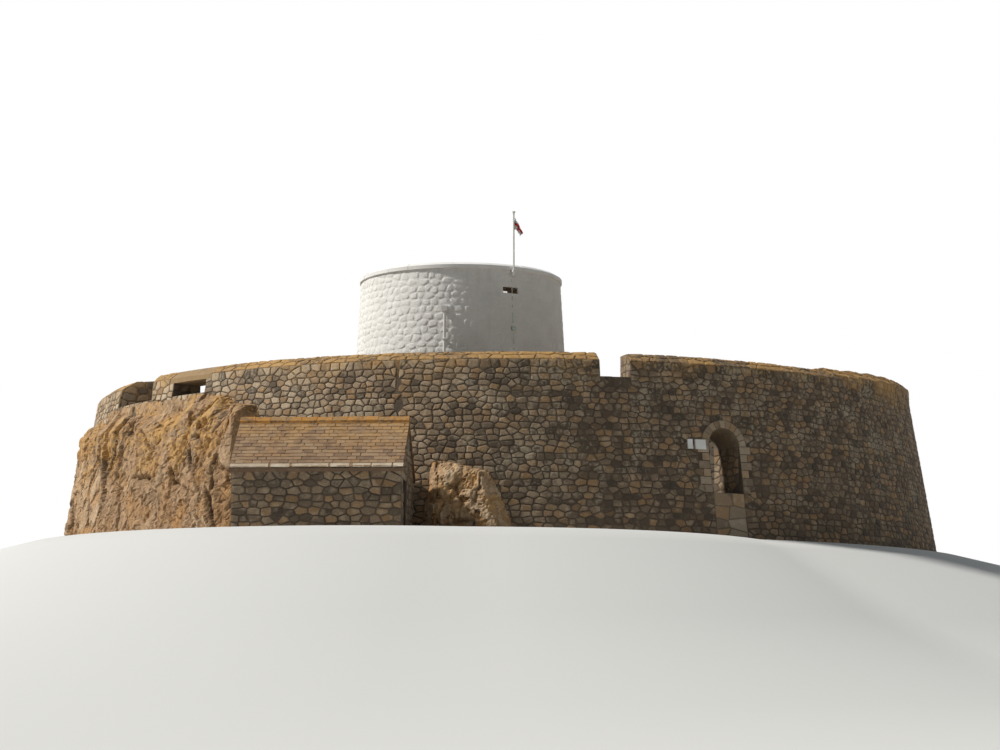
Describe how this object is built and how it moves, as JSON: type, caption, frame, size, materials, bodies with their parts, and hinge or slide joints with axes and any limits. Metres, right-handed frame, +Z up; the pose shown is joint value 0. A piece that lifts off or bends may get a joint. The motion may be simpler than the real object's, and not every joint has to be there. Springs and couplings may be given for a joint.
{
  "type": "martello tower in a round battery",
  "caption": "White round martello tower with a parapet and flagpole, standing in a round granite battery with a gate arch, embrasures, a bedrock crag and a slate-roofed outbuilding.",
  "frame": {"origin": "centre of the round battery at the level of the foot of its wall", "axes": "+Z up, -Y towards the front with the gate and the outbuilding, +X towards the right seen from the front"},
  "size_m": [34.9385, 39.1, 13.92],
  "materials": {
    "granite_rubble": "rough granite rubble, weathered brown with lichen",
    "dressed_granite": "roughly dressed granite",
    "terrace_stone": "stone paving and retaining face",
    "court_stone": "worn stone paving",
    "white_render": "thick limewash over rough rubble",
    "vault_render": "thick limewash over rough rubble",
    "floor_boards": "worn boards",
    "white_coping": "smooth limewashed coping",
    "door_planks": "weathered planks",
    "white_metal": "white gloss paint",
    "flag_cloth": "woven polyester, white with red",
    "earth_tape": "dull grey-green metal",
    "house_rubble": "granite rubble",
    "roof_slate": "brown-grey stone slates",
    "ridge_stone": "bedded ridge stones with ochre lichen",
    "bedrock": "fractured tan granite bedrock"
  },
  "bodies": {
    "root": {"rampart_embrasure_1": "granite_rubble", "rampart_embrasure_2": "granite_rubble", "rampart_embrasure_3": "granite_rubble", "rampart_embrasure_4": "granite_rubble", "rampart_embrasure_5": "granite_rubble", "rampart_embrasure_6": "granite_rubble", "rampart_front_left": "granite_rubble", "rampart_front_notch": "granite_rubble", "rampart_front_right": "granite_rubble", "rampart_right": "granite_rubble", "gate_pier_left": "granite_rubble", "gate_pier_right": "granite_rubble", "gate_head_wall": "granite_rubble", "raised_course": "granite_rubble", "slot_lintel": "dressed_granite", "gate_arch": "dressed_granite", "gate_threshold": "dressed_granite", "terrace_1": "terrace_stone", "terrace_2": "terrace_stone", "terrace_3": "terrace_stone", "terrace_4": "terrace_stone", "terrace_5": "terrace_stone", "court_floor": "court_stone", "tower_wall_1": "white_render", "tower_wall_2": "white_render", "tower_wall_3": "white_render", "tower_parapet_1": "white_render", "tower_parapet_2": "white_render", "tower_parapet_3": "white_render", "tower_vault": "vault_render", "tower_floor": "floor_boards", "tower_coping": "white_coping", "tower_door": "door_planks", "downpipe": "white_metal", "flagpole": "white_metal", "flag": "flag_cloth", "lightning_tape": "earth_tape", "house_front_wall": "house_rubble", "house_back_wall": "house_rubble", "house_left_gable": "house_rubble", "house_right_gable": "house_rubble", "house_roof_front": "roof_slate", "house_roof_back": "roof_slate", "house_ridge": "ridge_stone", "crag_1": "bedrock", "crag_2": "bedrock", "crag_3": "bedrock", "crag_4": "bedrock", "crag_5": "bedrock", "crag_6": "bedrock"}
  },
  "joints": []
}
